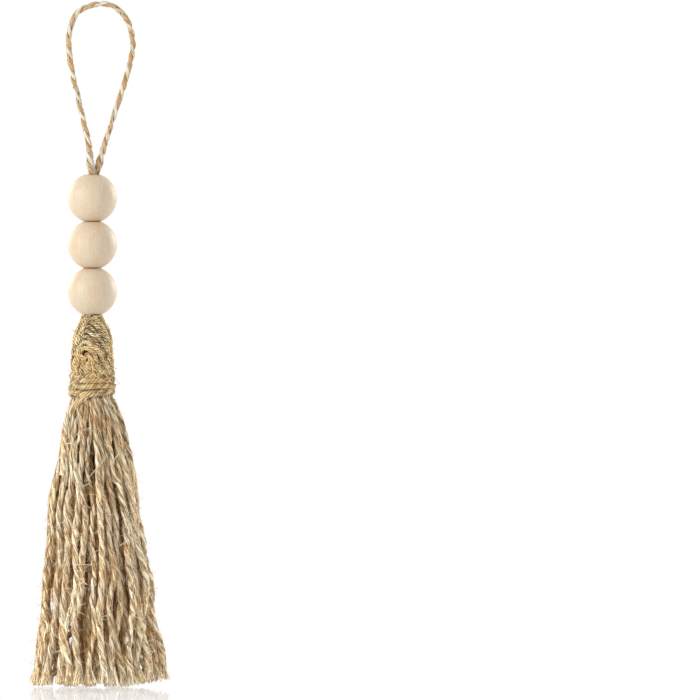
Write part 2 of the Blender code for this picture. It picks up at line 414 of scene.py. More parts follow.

# %% [markdown]
# ## The jute finish
#
# Raw jute is straw and gold with brown streaks, matt, and never one flat colour. Noise in
# the yarn's own space is stretched along the fibre, so that it reads as single fibres, and
# slower noise lets whole stretches turn golden or greyish. The same streaks raise a little
# relief between the flutes. The furrows between the plies, the strands inside the skirt and
# the skirt's upper part are painted darker and browner: painted shade.

# %% The finish for yarn and fibre
WHITE = (1.0, 1.0, 1.0)
FINE_SCALE = 3.2
BLOTCH_SCALE = 120.0
STREAK_MIX = (0.92, 0.08)  # bundles of fibre, and the finer fibres in them
STREAK_HEIGHT = 0.4 * MM
STREAK_STOPS = (0.43, 0.475, 0.53)  # where the deep, middle and pale colours are
BLOTCHES = ((0.35, (1.0, 0.88, 0.7)), (0.65, (1.0, 1.0, 0.98)))
# painted shade: the furrows between the plies are darker and browner, by crest
PLY_FURROW_SHADE = ((0.52, (0.62, 0.46, 0.3)), (0.87, WHITE))  # times the colour, by crest
TIGHT_PLY_SHADE = ((0.64, (0.3, 0.15, 0.07)), (0.86, WHITE))  # for yarn that is wound tight
CORD_PLY_SHADE = ((0.5, (0.62, 0.44, 0.27)), (0.82, WHITE))
# painted shade: the upper skirt, which the lamps light more fully, is darkened by height
UPPER_SKIRT_SHADE = ((0.66, WHITE), (0.9, (0.8, 0.76, 0.7)))  # times the colour, by height
# painted shade: the skirt is browner the nearer a place lies to its middle
INNER_SHADE = ((0.7, (0.9, 0.77, 0.62)), (0.92, WHITE))  # times the colour, by share of the skirt
TONES = ((0.8, 0.7, 0.58), (1.12, 1.13, 1.14))
FIBRE_TONES = ((0.45, 0.32, 0.2), (1.5, 1.5, 1.5))
HATCH_TONES = ((0.16, 0.07, 0.035), (1.55, 1.42, 1.25))
GOLD_TONES = ((0.77, 0.58, 0.38), (1.06, 1.04, 0.98))
END_TONES = ((0.55, 0.42, 0.28), (1.5, 1.5, 1.5))


def ramp(factor, *stops):
    """A colour ramp with a stop for each place and colour."""
    colours = shade("ValToRGB", factor)
    elements = colours.node.color_ramp.elements
    for k, (place, colour) in enumerate(stops):
        stop = elements[k] if k < 2 else elements.new(place)
        stop.position = place
        stop.color = (*colour, 1.0)
    return colours


def tint(colour, factor, *stops):
    """The colour times a colour ramp."""
    return shade("Mix", 1.0, colour, ramp(factor, *stops), data_type="RGBA", blend_type="MULTIPLY")


def marked(name, output="Fac"):
    """An attribute of the mesh, by its name."""
    return shade("Attribute", attribute_name=name).node.outputs[output]


def new_finish(name):
    """Starts a material. Returns it and its Object coordinates."""
    finish = bpy.data.materials.new(name)
    finish.use_nodes = True
    TREES.append(finish.node_tree)
    return finish, shade("TexCoord").node.outputs["Object"]


def finish_with(colour, pattern, strength, height, roughness):
    """Gives the shader its colour, a relief from the pattern, and its roughness."""
    tree = TREES[-1]
    shader = tree.nodes["Principled BSDF"]
    relief = shade("Bump", strength, height, None, pattern)
    tree.links.new(colour, shader.inputs["Base Color"])
    tree.links.new(relief, shader.inputs["Normal"])
    shader.inputs["Roughness"].default_value = roughness
    return shader


# height, outer radius: where the skirt's own surface is, for the finish
SKIRT_SHARE_MM = table("0 25, 40 20.3, 66 16.8, 86 13.4, 96 11.2, 106 7.6")
SKIRT_LEAN = (-0.69, -0.021)  # the skirt's middle at the foot in mm, and its change for each mm
RAMP_FULL = 100.0  # mm that a ramp's value of 1 stands for


def skirt_share(here):
    """How far out in the skirt a place lies, and how high, as shares of the whole, for the painted shade.
    """
    parts = shade("SeparateXYZ", here).node.outputs
    height = calc("DIVIDE", parts["Z"], MM)
    top = SKIRT_SHARE_MM[-1][0]
    level = calc("DIVIDE", height, top)
    stops = [(level_mm / top, (radius / RAMP_FULL,) * 3) for level_mm, radius in SKIRT_SHARE_MM]
    radius = ramp(level, stops[0], stops[-1], *stops[1:-1])
    foot, lean = SKIRT_LEAN
    middle = scale_add(height, lean, foot)
    x = calc("SUBTRACT", calc("DIVIDE", parts["X"], MM), middle)
    reach = vector("LENGTH", xyz(x, calc("DIVIDE", parts["Y"], MM), 0.0))
    return calc("DIVIDE", reach, product(radius, RAMP_FULL)), level


def jute_finish(name, deep, middle, pale, tones=TONES, furrow=None, skirt_shade=False, roughness=0.85):
    """Jute with brown, straw and pale streaks, and painted shade in furrows and in the skirt's middle and
    top.
    """
    finish, here = new_finish(name)
    place = marked("fibre", "Vector")
    bundles, fibres = STREAK_MIX
    fine = product(noise(place, FINE_SCALE, 2.0, 0.6), fibres)
    streaks = scale_add(noise(place, RIDGE_SCALE), bundles, fine)
    colour = ramp(streaks, *zip(STREAK_STOPS, (deep, middle, pale)))
    colour = tint(colour, noise(here, BLOTCH_SCALE, 2.0), *BLOTCHES)
    colour = tint(colour, marked("tone"), (0.15, tones[0]), (0.85, tones[1]), (0.5, WHITE))
    # painted shade in the furrows between the plies
    if furrow:
        colour = tint(colour, marked("crest"), *furrow)
    if skirt_shade:
        # painted shade: browner inside the skirt, and darker on its upper part
        share, height = skirt_share(here)
        colour = tint(tint(colour, share, *INNER_SHADE), height, *UPPER_SKIRT_SHADE)
    shader = finish_with(colour, streaks, 0.8, STREAK_HEIGHT, roughness)
    shader.inputs["Sheen Weight"].default_value = 0.2
    return finish


STRAW_COLOURS = ((0.4, 0.19, 0.065), (1.0, 0.73, 0.345), (1.0, 0.95, 0.6))
SKIRT_COLOURS = ((0.4, 0.245, 0.115), (0.92, 0.755, 0.475), (0.96, 0.93, 0.77))
# painted shade: a browner, more saturated palette for the strands inside the skirt
INSIDE_SHADE_COLOURS = ((0.48, 0.3, 0.155), (0.9, 0.67, 0.39), (1.0, 0.94, 0.72))
GOLD_COLOURS = ((0.58, 0.45, 0.3), (0.74, 0.65, 0.5), (0.82, 0.82, 0.74))
PALE_COLOURS = ((0.8, 0.62, 0.4), (1.0, 0.9, 0.64), (1.0, 1.0, 0.86))
DARK_COLOURS = ((0.09, 0.04, 0.018), (0.24, 0.12, 0.06), (0.44, 0.27, 0.14))

STRAW = jute_finish("jute_straw", *STRAW_COLOURS, TONES, TIGHT_PLY_SHADE)
HATCH = jute_finish("jute_tight_fibre", *STRAW_COLOURS, HATCH_TONES)
SKIRT = jute_finish("jute_skirt", *SKIRT_COLOURS, TONES, PLY_FURROW_SHADE, skirt_shade=True)
INSIDE_SHADE = jute_finish("jute_inside_shade", *INSIDE_SHADE_COLOURS, TONES, PLY_FURROW_SHADE, skirt_shade=True)
FIBRE = jute_finish("jute_single_fibre", *SKIRT_COLOURS, FIBRE_TONES, skirt_shade=True)
GOLD = jute_finish("jute_gold", *GOLD_COLOURS, GOLD_TONES, CORD_PLY_SHADE)
PALE = jute_finish("jute_pale", *PALE_COLOURS, roughness=0.7)
END = jute_finish("jute_end_fibre", *PALE_COLOURS, END_TONES, roughness=0.7)
DARK = jute_finish("jute_shade", *DARK_COLOURS)

# %% [markdown]
# Single fibres lie over the plies and wander round the yarn on their own. The same tree
# makes them as thin plies that stray, along the same paths. They hide part of the furrow
# between the plies and give the yarn its crisp pale and dark lines.

# %% Spin yarn, and a coat of fibres
COAT = {"Spread": 0.93, "Ply": 0.16, "Twist": -60.0, "Stray": 11.0, "Loose": 0.4, "Sides": 3}
COAT |= {"Flutes": 0.0, "Ridge": 0.0, "Unevenness": 1.2}


def show(piece, slot, *nodes):
    """The piece rides on the part's one body, in place of the nodes; the slot is not used."""
    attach(piece, "root")
    if nodes:
        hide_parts(*nodes)
    return piece


def spin(name, paths, radii, slot, *nodes, **sizes):
    """Yarn along the paths, shown on the part's one body; the slot is not used."""
    return show(grow(name, draw_paths(name, paths, radii), YARN, **sizes), slot, *nodes)


def coat(name, paths, radii, slot, **sizes):
    """Loose single fibres along the paths."""
    return spin(name + "_coat", paths, radii, slot, **(COAT | sizes))


# %% [markdown]
# ## The hanging cord
#
# The loop is a thin two-ply cord, more golden than the skirt. Its plies turn round the
# cord's path.

# %% Make the cord
CORD_RADIUS = 1.05 * MM
CORD_TWIST = -790.0  # radians for each metre: half a turn in about 4 mm
CORD_SWELL = (0.35, 190.0, 5.0)  # how much thicker the legs are, at what height and reach in mm


def cord_radius(place):
    """The legs of the loop are loose and thick where they come out of the top bead."""
    more, height, reach = CORD_SWELL
    return CORD_RADIUS * (1.0 + more * math.exp(-(((place.z / MM - height) / reach) ** 2)))


cord_path = ([cord_places], [[cord_radius(place) for place in cord_places]])
cord = spin(
    "hanging_loop_cord", *cord_path, "jute_cord", "hanging_cord", Step=0.6 * MM, Twist=CORD_TWIST,
    Spread=0.42, Ply=0.66, Flutes=0.12, Ridge=0.25 * MM, Lay=-300.0, Unevenness=0.5, Contrast=0.85,
    Seed=11, Finish=GOLD,
)
coat("cord", *cord_path, "jute_cord", Plies=4, Step=1.0 * MM, Seed=31, Finish=END)

# %% [markdown]
# ## Turned beads
#
# Each bead is a ball turned on a lathe, with small flats where the bore comes out. A
# profile and the Screw modifier make just that. The wood is pale and hardly varnished.
# Its grain runs along the bore, so fine streaks are noise stretched along Z, over wide
# soft growth bands. Painted shade browns the wood near the flats and in the bore.

# %% The wood finish
GRAIN_ACROSS = 1500.0  # streaks across the grain, for each metre
GRAIN_ALONG = 70.0
BAND_ACROSS = 260.0
GRAIN = ((0.3, (0.64, 0.51, 0.36)), (0.7, (0.72, 0.61, 0.46)), (0.5, (0.69, 0.57, 0.42)))
BANDS = ((0.3, (1.0, 0.93, 0.85)), (0.7, (0.98, 1.0, 1.0)))
# painted shade: browner near the flats, where the beads meet in a crease, and in the bore
FLAT_SHADE = ((0.0, WHITE), (1.0, (0.5, 0.36, 0.24)))  # times the colour, by nearness to the flats


def wood_finish():
    finish, here = new_finish("pale_bead_wood")
    fine = vector("MULTIPLY", here, (GRAIN_ACROSS, GRAIN_ACROSS, GRAIN_ALONG))
    fine = noise(fine, 1.0, 3.0, 0.6)
    wide = noise(vector("MULTIPLY", here, (BAND_ACROSS, BAND_ACROSS, GRAIN_ALONG)), 1.0)
    colour = tint(ramp(fine, *GRAIN), wide, *BANDS)
    # painted shade in the crease between the beads and in the bore
    colour = tint(colour, marked("end"), *FLAT_SHADE)
    finish_with(colour, fine, 0.15, 0.03 * MM, 0.5)
    return finish


# %% Turn the beads
BEAD_DIAMETER = 18.0 * MM
BEAD_HEIGHT = 16.96 * MM  # the beads sit on each other
BORE_RADIUS = 2.6 * MM
EDGE_ROUND = 0.9 * MM  # where the ball meets the flat
RIM_ROUND = 0.25 * MM  # where the flat meets the bore
BEAD_TILTS = {"bead_bottom": 0.6, "bead_middle": -0.9, "bead_top": 0.7}  # degrees
TURNING_STEPS = 96
ARC_POINTS = 41
EDGE_POINTS = 7
RIM_POINTS = 4
FLAT_SHADE_REACH = 0.3 * MM  # how far the painted shade of the flats comes round the edge


def arc(middle, radius, start, end, count):
    """Places along part of a circle in the profile, from one angle to another."""
    angles = [start + (end - start) * k / (count - 1) for k in range(count)]
    return [(middle[0] + radius * math.cos(a), middle[1] + radius * math.sin(a)) for a in angles]


def bead_profile():
    """From the top flat's rim down the outer side to the bottom flat, then up the bore."""
    radius, half = BEAD_DIAMETER / 2, BEAD_HEIGHT / 2
    up = half - EDGE_ROUND
    out = math.sqrt((radius - EDGE_ROUND) ** 2 - up**2)
    meet = math.atan2(up, out)
    right = math.radians(90)
    profile = arc((out, up), EDGE_ROUND, right, meet, EDGE_POINTS)[:-1]
    profile += arc((0.0, 0.0), radius, meet, -meet, ARC_POINTS)
    profile += arc((out, -up), EDGE_ROUND, -meet, -right, EDGE_POINTS)[1:]
    rim = BORE_RADIUS + RIM_ROUND
    profile += arc((rim, RIM_ROUND - half), RIM_ROUND, -right, -2 * right, RIM_POINTS)
    profile += arc((rim, half - RIM_ROUND), RIM_ROUND, 2 * right, right, RIM_POINTS)
    return profile


def turn_bead(name, tilt, finish):
    """The profile turned round the bead's own axis, then moved to the frame's bead."""
    mesh = bpy.data.meshes.new("turned_" + name)
    shape = bmesh.new()
    end = shape.verts.layers.float.new("end")
    ring = [shape.verts.new((r, 0.0, z)) for r, z in bead_profile()]
    for point in ring:
        # painted shade: 1 in the bore and at the flats, fading to 0 over the reach round the edge
        flat = BEAD_HEIGHT / 2 - abs(point.co.z)
        point[end] = max(0.0, 1.0 - flat / FLAT_SHADE_REACH) if point.co.x > BORE_RADIUS else 1.0
    for a, b in zip(ring, ring[1:] + ring[:1]):
        shape.edges.new((a, b))
    shape.to_mesh(mesh)
    shape.free()
    blank = add("blank", mesh)
    turning = blank.modifiers.new("Turning", "SCREW")
    turning.steps = turning.render_steps = TURNING_STEPS
    turning.use_merge_vertices = True
    turning.merge_threshold = 0.01 * MM
    turned = plain_mesh(blank)
    bpy.data.objects.remove(blank)
    low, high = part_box(name)
    turned.transform(Matrix.Translation((low + high) / 2) @ Matrix.Rotation(math.radians(tilt), 4, "Y"))
    turned.shade_smooth()
    turned.materials.append(finish)
    return add("turned_" + name, turned)


WOOD = wood_finish()
for bead_name, bead_tilt in BEAD_TILTS.items():
    bead = show(turn_bead(bead_name, bead_tilt, WOOD), "pale_wood", bead_name)
    print(bead.name, "faces:", len(bead.data.polygons))

# %% [markdown]
# ## The folded head
#
# Folding the hank over the cord leaves arches of twine round a dark eye, which sits up and
# to the left on the front. On the left they come down steeply, on the right they sweep
# down in long slants, and narrow folds side by side fill the bulge below the eye. The
# front's strands are listed, one row for each; at the back plain arches do. Every
# place is a turn round the head and a height, and lies on the head's round outline, so
# the fold stays on the head from every side.

# %% Where the head's surface is
AXIS_X = sum(corner.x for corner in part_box("bead_middle")) / 2
HEAD_YARN = 0.9 * MM
# height, radius
HEAD_OUTLINE_MM = table("""
    98 6.4, 104 6.9, 112 7.2, 115.1 8.2, 119.8 8, 123.1 7.7, 126 7.1, 128.2 6.8, 130 6.3,
    131.4 5.7, 132.5 5, 134 3.9, 135.1 3.1""")


def head_radius(height):
    """The head's outline radius at a height, both in mm."""
    return float(np.interp(height, *zip(*HEAD_OUTLINE_MM)))


def on_head(turn, height, depth):
    """A place at a turn in degrees from the front to the right, and a height and depth in mm."""
    reach = head_radius(height) - depth
    angle = math.radians(turn)
    x, y = reach * math.sin(angle), -reach * math.cos(angle)
    return Vector((AXIS_X + x * MM, y * MM, height * MM))


# %% Lay the strands of the fold
ABOVE_BINDING = 112.5
UNDER_BINDING = 109.0
SUNK = 1.1  # how far the binding presses them in
WANDER = (3.0, 0.34, 0.2)  # degrees of turn, mm of height, mm of depth
FOLD_PIECES = 4
FRONT_DEPTHS = (1.0, 1.1, 0.9, 0.95, 0.8, 0.65, 0.5, 0.45, 0.4, 0.8, 0.95)
# a line for each strand: turn and height up the left side, over, and down the right
FRONT_FOLDS = """
-88 117, -86 125, -80 130, -64 133, -30 134.4, 8 134, 38 132.2, 58 129, 70 125, 77 120, 79 116
-80 117, -73 122, -60 127, -44 130.4, -22 132.4, 3 132, 27 129.8, 44 126.6, 57 122, 66 116
-73 117, -66 121, -56 125.4, -41 129.4, -18 130.9, 6 129.4, 25 126.6, 41 122.8, 52 119, 57 116
-66 117, -58 121, -46 125.6, -33 128.5, -17 129.3, 2 127.8, 18 125.6, 35 122.3, 46 118.4, 50 115.4
-61 116, -54 120, -47 123.4, -36 126.2, -20 127, -4 125.9, 12 123.7, 28 120.7, 39 116.8, 42 115
-56 116, -50 119.6, -41 122.6, -29 124.6, -14 124.9, 3 123.2, 20 121.6, 33 119.2, 44 116
-53 115.5, -49 119, -39 121.9, -24 123, -9 122.3, 4 120.2, 13 117.6, 21 115
-43 115, -40 118.2, -32 121, -26 119.4, -21 117, -19 115
-26 115, -22 118.4, -13 121.2, -5 119.4, 2 117.2, 6 115
-14 113.6, -13 116.2, -9 118, -5 116.4, -2 113.6
14 114, 17 116.6, 23 119, 28 117, 33 114"""
BACK_FOLDS = 9
BACK_ARC = 10  # straight pieces in an arch
BACK_SIDES = (4, 88)  # from the narrowest arch to the widest: degrees to each side,
BACK_SPRINGS = (117, 126)  # the height where its round part starts,
BACK_TOPS = (126.8, 134)  # and the height of its top
BACK_DEPTHS = (0.8, 1.3)
TOP_TURNS = (88, 108, 127)
TOP_HEIGHTS = (118, 122.5, 126.5, 130, 132.5, 134.1)
TOP_DEPTH = 0.9
TOP_RISE = Vector((0.0, 0.0, 0.35 * MM))
COLLAR_MM = (134.3, 2.8)  # height and radius of the strand that closes the top
COLLAR_TURNS = 1.3
COLLAR_PIECES = 24
COLLAR_CLIMB = 0.12  # mm for each radian


def fold_line(route, depth):
    """The strand that starts under the binding, follows the turns and heights, and ends there."""
    first, last = route[0][0], route[-1][0]
    start = [(first, UNDER_BINDING), (first, ABOVE_BINDING)]
    drift = np.zeros(3)
    places = []
    for turn, height in [*start, *route, (last, ABOVE_BINDING), (last, UNDER_BINDING)]:
        drift = 0.5 * drift + HEAD_RANDOM.uniform(-1.0, 1.0, 3) * WANDER
        inwards = depth + (SUNK if height <= UNDER_BINDING else 0.0)
        places.append(on_head(turn + drift[0], height + drift[1], inwards + drift[2]))
    return smooth(places, FOLD_PIECES)


def over_the_top(turn):
    """A strand that climbs the left side, crosses under the beads and comes down the right."""
    left = fold_line([(-turn, height) for height in TOP_HEIGHTS], TOP_DEPTH)[: -2 * FOLD_PIECES]
    right = [Vector((2 * AXIS_X - place.x, place.y, place.z)) for place in reversed(left)]
    return [*left, (left[-1] + right[0]) / 2 + TOP_RISE, *right]


def back_arch(share, depth):
    """An arch at the back, from the narrowest at share 0 to the widest at 1."""
    sizes = (BACK_SIDES, BACK_SPRINGS, BACK_TOPS)
    side, spring, top = (low + (high - low) * share for low, high in sizes)
    angles = [math.pi * (1 - step / BACK_ARC) for step in range(BACK_ARC + 1)]
    route = [(180 + side * math.cos(a), spring + (top - spring) * math.sin(a)) for a in angles]
    return fold_line(route, depth)


HEAD_RANDOM = np.random.default_rng(4)
folds = [over_the_top(turn) for turn in TOP_TURNS]
folds += [fold_line(table(row), depth) for row, depth in zip(FRONT_FOLDS.split("\n")[1:], FRONT_DEPTHS)]
folds += [back_arch(k / (BACK_FOLDS - 1), BACK_DEPTHS[k % 2]) for k in range(BACK_FOLDS)]
height, reach = COLLAR_MM
angles = [math.tau * COLLAR_TURNS * k / COLLAR_PIECES for k in range(COLLAR_PIECES + 1)]
ring = [(reach * math.cos(a), reach * math.sin(a), height + COLLAR_CLIMB * a) for a in angles]
folds.append([Vector(place) * MM + Vector((AXIS_X, 0.0, 0.0)) for place in ring])
print("strands in the head:", len(folds))

# %% Grow the head and the core that fills it
head_paths = (folds, even(HEAD_YARN, folds))
head = spin(
    "folded_head_twine", *head_paths, "jute", Step=0.36 * MM, Plies=3, Twist=-1900.0, Spread=0.52,
    Ply=0.46, Sides=6, Lay=-300.0, Seed=5, Finish=STRAW,
)
coat("head", *head_paths, "jute", Plies=4, Ply=0.15, Step=0.8 * MM, Seed=32, Finish=HATCH)

CORE_DEPTH = 2.1
CORE_HEIGHTS = (97, 101, 104, 108, 112, 115, 119, 123, 126, 129, 131.5, 133.2, 134.4)
core_places = [Vector((AXIS_X, 0.0, height * MM)) for height in CORE_HEIGHTS]
core_radii = [(head_radius(height) - CORE_DEPTH) * MM for height in CORE_HEIGHTS]
spin(
    "head_core", [core_places], [core_radii], "jute", Step=1.0 * MM, Plies=1, Spread=0.0, Ply=1.0,
    Sides=40, Flutes=0.12, Lay=20.0, Unevenness=0.0, Seed=2, Finish=DARK,
)

# %% [markdown]
# ## The neck binding
#
# Four turns of twine close the neck. They climb to the right across the front, lie a little
# unevenly, and the top turn is pulled up at the right. The path is a helix with gentle
# waves and a few local pulls, each a bump at a known turn. Four plies make the twine round
# enough to leave no gaps.

# %% Wind the binding
NECK_MIDDLE = 110.1
BINDING_TURNS = 4.0
BINDING_PITCH = 2.1
BINDING_RADIUS = 7.1
BINDING_WAVES = (0.16, 0.14)  # mm up and down, and in and out
BINDING_YARN = 1.32 * MM
BINDING_STEPS = 40  # for each turn
# turn, its reach to each side in degrees, how far up and out in mm
BINDING_PULLS = table("""
    3.62 34 0.8 0, 0.25 40 0.1 0.5, 1.25 40 0 0.5, 1.38 20 0.45 -0.3, 0.47 26 -0.5 0.5,
    2.5 60 0.15 0""")


def binding_place(turns):
    """The twine's middle after so many turns, which start at the back and go round by the left."""
    angle = math.radians(90) + math.tau * turns
    height = NECK_MIDDLE + BINDING_PITCH * (turns - BINDING_TURNS / 2)
    height += BINDING_WAVES[0] * math.sin(2.0 * angle + turns * 2.3)
    reach = BINDING_RADIUS + BINDING_WAVES[1] * math.sin(3.0 * angle + turns)
    for at, width, up, out in BINDING_PULLS:
        bump = math.exp(-(((turns - at) * 360.0 / width) ** 2))
        height += up * bump
        reach += out * bump
    return Vector((AXIS_X + reach * math.cos(angle) * MM, reach * math.sin(angle) * MM, height * MM))


steps = round(BINDING_TURNS * BINDING_STEPS)
winding = [[binding_place(BINDING_TURNS * k / steps) for k in range(steps + 1)]]
binding_path = (winding, even(BINDING_YARN, winding))
binding = spin(
    "neck_binding", *binding_path, "jute", "neck_wrap", Step=0.5 * MM, Plies=4, Twist=-1250.0,
    Spread=0.5, Ply=0.47, Sides=7, Lay=-300.0, Unevenness=0.15, Seed=8, Finish=STRAW,
)
coat("binding", *binding_path, "jute", Plies=7, Ply=0.1, Step=0.8 * MM, Finish=HATCH)

# %% [markdown]
# ## The skirt
#
# Below the binding every strand hangs on its own and wanders a little. The strands keep
# the frame's places, shared out evenly by the golden angle, and more fill the widest
# spaces between them, because the photograph's skirt is dense. Each one's path follows a
# short table of the skirt's outline.

# %% Where the strands hang
FRAME_STRANDS = 56
MORE_STRANDS = 30
MORE_RINGS = (0.45, 0.72, 0.86, 0.98)  # how far out the additional ones may hang
GOLDEN_ANGLE = math.pi * (3.0 - math.sqrt(5.0))
FIRST_ANGLE = math.radians(60.0)
# height, outer radius, sideways middle, strand radius
SKIRT_ROWS_MM = table("""
    108 6.4 -3 0.84, 104.5 8.1 -2.9 0.88, 100.5 9.6 -2.8 0.92, 95 11.3 -2.6 0.96,
    85.6 13.4 -2.45 1, 75.8 15 -2.3 1.06, 66 16.8 -2 1.1, 53.3 18.7 -1.45 1.14,
    38.7 20.4 -1.15 1.2, 20.2 22.4 -0.95 1.24, 6 24.5 -0.69 1.26, 0 25 -0.69 1.26""")
ROOT_HEIGHT = SKIRT_ROWS_MM[0][0]


def frame_spots():
    """The strands' places in the skirt's section, as a share of its radius."""
    for k in range(FRAME_STRANDS):
        share, angle = math.sqrt((k + 0.5) / FRAME_STRANDS), FIRST_ANGLE + k * GOLDEN_ANGLE
        yield (share * math.cos(angle), share * math.sin(angle))


def fill_spots(spots, count):
    """More places, each the one furthest from all those before it, in the outer part of the skirt."""
    angles = np.radians(range(0, 360, 4))
    grid = [(r * math.cos(a), r * math.sin(a)) for r in MORE_RINGS for a in angles]
    for _ in range(count):
        spots.append(max(grid, key=lambda g: min(math.dist(g, s) for s in spots)))
    return spots


spots = fill_spots(list(frame_spots()), MORE_STRANDS)
print("strands:", len(spots))

# %% Hang the strands
STRAND_STEP = 2.0
STRAND_THICK = (0.9, 1.2)
# each of a strand's waves: how far it goes, and how long it is for each radian, both in mm
STRAND_WAVES = (((0.2, 0.6), (3.2, 7.0)),) * 4
STRAND_WAVES += (((0.2, 0.5), (10.0, 16.0)), ((0.3, 0.9), (10.0, 18.0)))
SWAY_MM = 0.6
SWAY_ACROSS_MM = (13.0, 7.0)  # for sideways waves: mm a radian down the skirt, and across it
SWAY_ALONG_MM = (9.0, 6.0)  # the same for waves front to back
LOOSE_BELOW = 40.0  # how far below its root a strand sways in full
FRONT = -0.45  # the partings of the front only move strands nearer to it than this
FOOT_CLEAR = 0.02  # the lowest strand's end above the floor in mm,
FOOT_STEP = 1.8  # how much higher the others end at most,
FOOT_RHYTHM = 7.44  # and the change from one to the next
FRONT_RISE = 0.1  # the front strands end a little higher, in mm
RIGHT_FROM = 0.4
RIGHT_RISE = 3.6  # and those at the right more so
PARTING_WIDTH = 1.9
# sideways place, height, reach up and down, push to each side, 1 for the front only
PARTINGS_MM = table("""
    -18 29.6 5 1.5 0, -10.9 18.7 5 1.3 0, 14.9 8.9 4.5 1.6 0, -16.7 1.5 5 2.2 0, -4.9 1.5 3 0.9 0,
    7 18.5 4 0.5 0, -8 88 10 0.75 1, -6 100 4 0.6 1, -2 82 7 0.8 1, 4.4 88.9 3.5 0.6 1,
    5.8 75.5 5.5 0.7 1, 1.6 70 5 0.5 1""")


def skirt_row(height):
    """Outer radius, middle and strand radius of the skirt at a height, in mm."""
    heights, *columns = zip(*sorted(SKIRT_ROWS_MM))
    return [float(np.interp(height, heights, column)) for column in columns]


def parted(x, height, front):
    """How far the partings push a strand sideways."""
    shift = 0.0
    for middle, level, reach, push, front_only in PARTINGS_MM:
        if front or not front_only:
            near = math.exp(-(((height - level) / reach) ** 2) - ((x - middle) / PARTING_WIDTH) ** 2)
            shift += math.copysign(push * near, x - middle)
    return shift


def strand_line(index, spot, rng):
    """The strand's places and radii from its root under the binding down to its foot."""
    foot = FOOT_CLEAR + (0.5 + 0.5 * math.sin(index * FOOT_RHYTHM)) * FOOT_STEP
    foot += max(0.0, -spot[1]) * FRONT_RISE + max(0.0, spot[0] - RIGHT_FROM) * RIGHT_RISE
    draws = [(*wave, (0, math.tau)) for wave in STRAND_WAVES]
    waves = [[rng.uniform(*limits) for limits in draw] for draw in draws]
    thick = rng.uniform(*STRAND_THICK)
    places, radii = [], []
    for height in np.append(np.arange(ROOT_HEIGHT, foot, -STRAND_STEP), foot):
        outer, middle, radius = skirt_row(height)
        loose = min((ROOT_HEIGHT - height) / LOOSE_BELOW, 1.0)
        x = middle + spot[0] * (outer - radius)
        y = spot[1] * (outer - radius)
        x += loose * SWAY_MM * math.sin(height / SWAY_ACROSS_MM[0] + y / SWAY_ACROSS_MM[1])
        y += loose * SWAY_MM * math.sin(height / SWAY_ALONG_MM[0] + x / SWAY_ALONG_MM[1])
        for k, (far, each, start) in enumerate(waves):
            shift = loose * far * math.sin(height / each + start)
            x, y = (x + shift, y) if k % 2 else (x, y + shift)
        x += parted(x, height, spot[1] < FRONT)
        places.append(Vector((x, y, height)) * MM)
        radii.append(radius * thick * MM)
    return places, radii


rng = np.random.default_rng(21)
lines = [strand_line(k, spot, rng) for k, spot in enumerate(spots)]

# %% Twist the skirt's yarn
FRAYED = 2.4 * MM
# painted shade: the strands nearer the middle than this share get the browner finish
INSIDE = 0.66  # the strands nearer the middle than this share are browner
LYING = {"Plies": 4, "Step": 1.5 * MM, "Cut": 0.6 * FRAYED, "Twist": -250.0, "Ply": 0.12}
SKIRT_PIECES = {"front": (SKIRT, 12), "back": (SKIRT, 12), "inside": (INSIDE_SHADE, 8)}


def part_of_skirt(spot):
    if math.hypot(*spot) <= INSIDE:
        return "inside"
    return "front" if spot[1] < 0 else "back"


skirt = []
for number, (where, (finish, sides)) in enumerate(SKIRT_PIECES.items()):
    name = "skirt_strands_" + where
    chosen = [line for line, spot in zip(lines, spots) if part_of_skirt(spot) == where]
    print(name, "strands:", len(chosen))
    skirt.append(spin(
        name, *zip(*chosen), "jute", "tassel", Twist=-470.0, Sides=sides, Spread=0.34, Ply=0.68,
        Lay=-300.0, Cut=FRAYED, Seed=3 + number, Finish=finish,
    ))
    if finish is SKIRT:
        coat(name, *zip(*chosen), "jute", Seed=41 + number, Finish=FIBRE, **LYING)

# %% [markdown]
# ## The binding's end
#
# The twine's last end comes out from under the lowest turn in a small round knot, and then
# hangs down to the left over the other strands, thicker than they are.

# %% Where the skirt's front is, and the twine's end on it
def on_skirt(x, height, proud):
    """A place on the skirt's front, in mm, that stands proud of the outline by so much."""
    outer, middle, _ = skirt_row(height)
    inwards = math.sqrt(max(outer**2 - (x - middle) ** 2, 4.0))
    return Vector((x, -(inwards + proud), height)) * MM


# sideways place, height, how far proud, radius
END_ROUTE_MM = table("""
    -3.4 107.6 -0.8 1.1, -4.4 106.4 0 1.2, -5.6 105.2 0.3 1.3, -7.2 103.8 0.2 1.35,
    -9 102.2 0.1 1.4, -10.9 100 -0.2 1.4, -12.1 96.5 -0.3 1.35, -12.8 91 -0.4 1.3,
    -13.2 84 -0.6 1.2, -13.8 77 -1.2 1.1""")
end_places = smooth([on_skirt(*row[:3]) for row in END_ROUTE_MM])
end_shares = np.linspace(0, len(END_ROUTE_MM) - 1, len(end_places))
end_radii = np.interp(end_shares, range(len(END_ROUTE_MM)), [row[3] * MM for row in END_ROUTE_MM])
binding_end = spin(
    "binding_end", [end_places], [list(end_radii)], "jute", Step=0.7 * MM, Plies=3, Twist=-520.0,
    Seed=14, Finish=SKIRT,
)

# %% [markdown]
# ## Frayed ends
#
# Where the scissors cut the twine, the plies have opened into little brushes. The tree
# keeps only the last stretch of each strand's path, copies it many times, and spreads the
# copies the more, the nearer they are to the end.

# %% The brush tree and the brushes
SHORTEST = 0.4  # the least share of the brush's length that a fibre has
OPENING = 1.5  # the power by which a brush opens towards its end


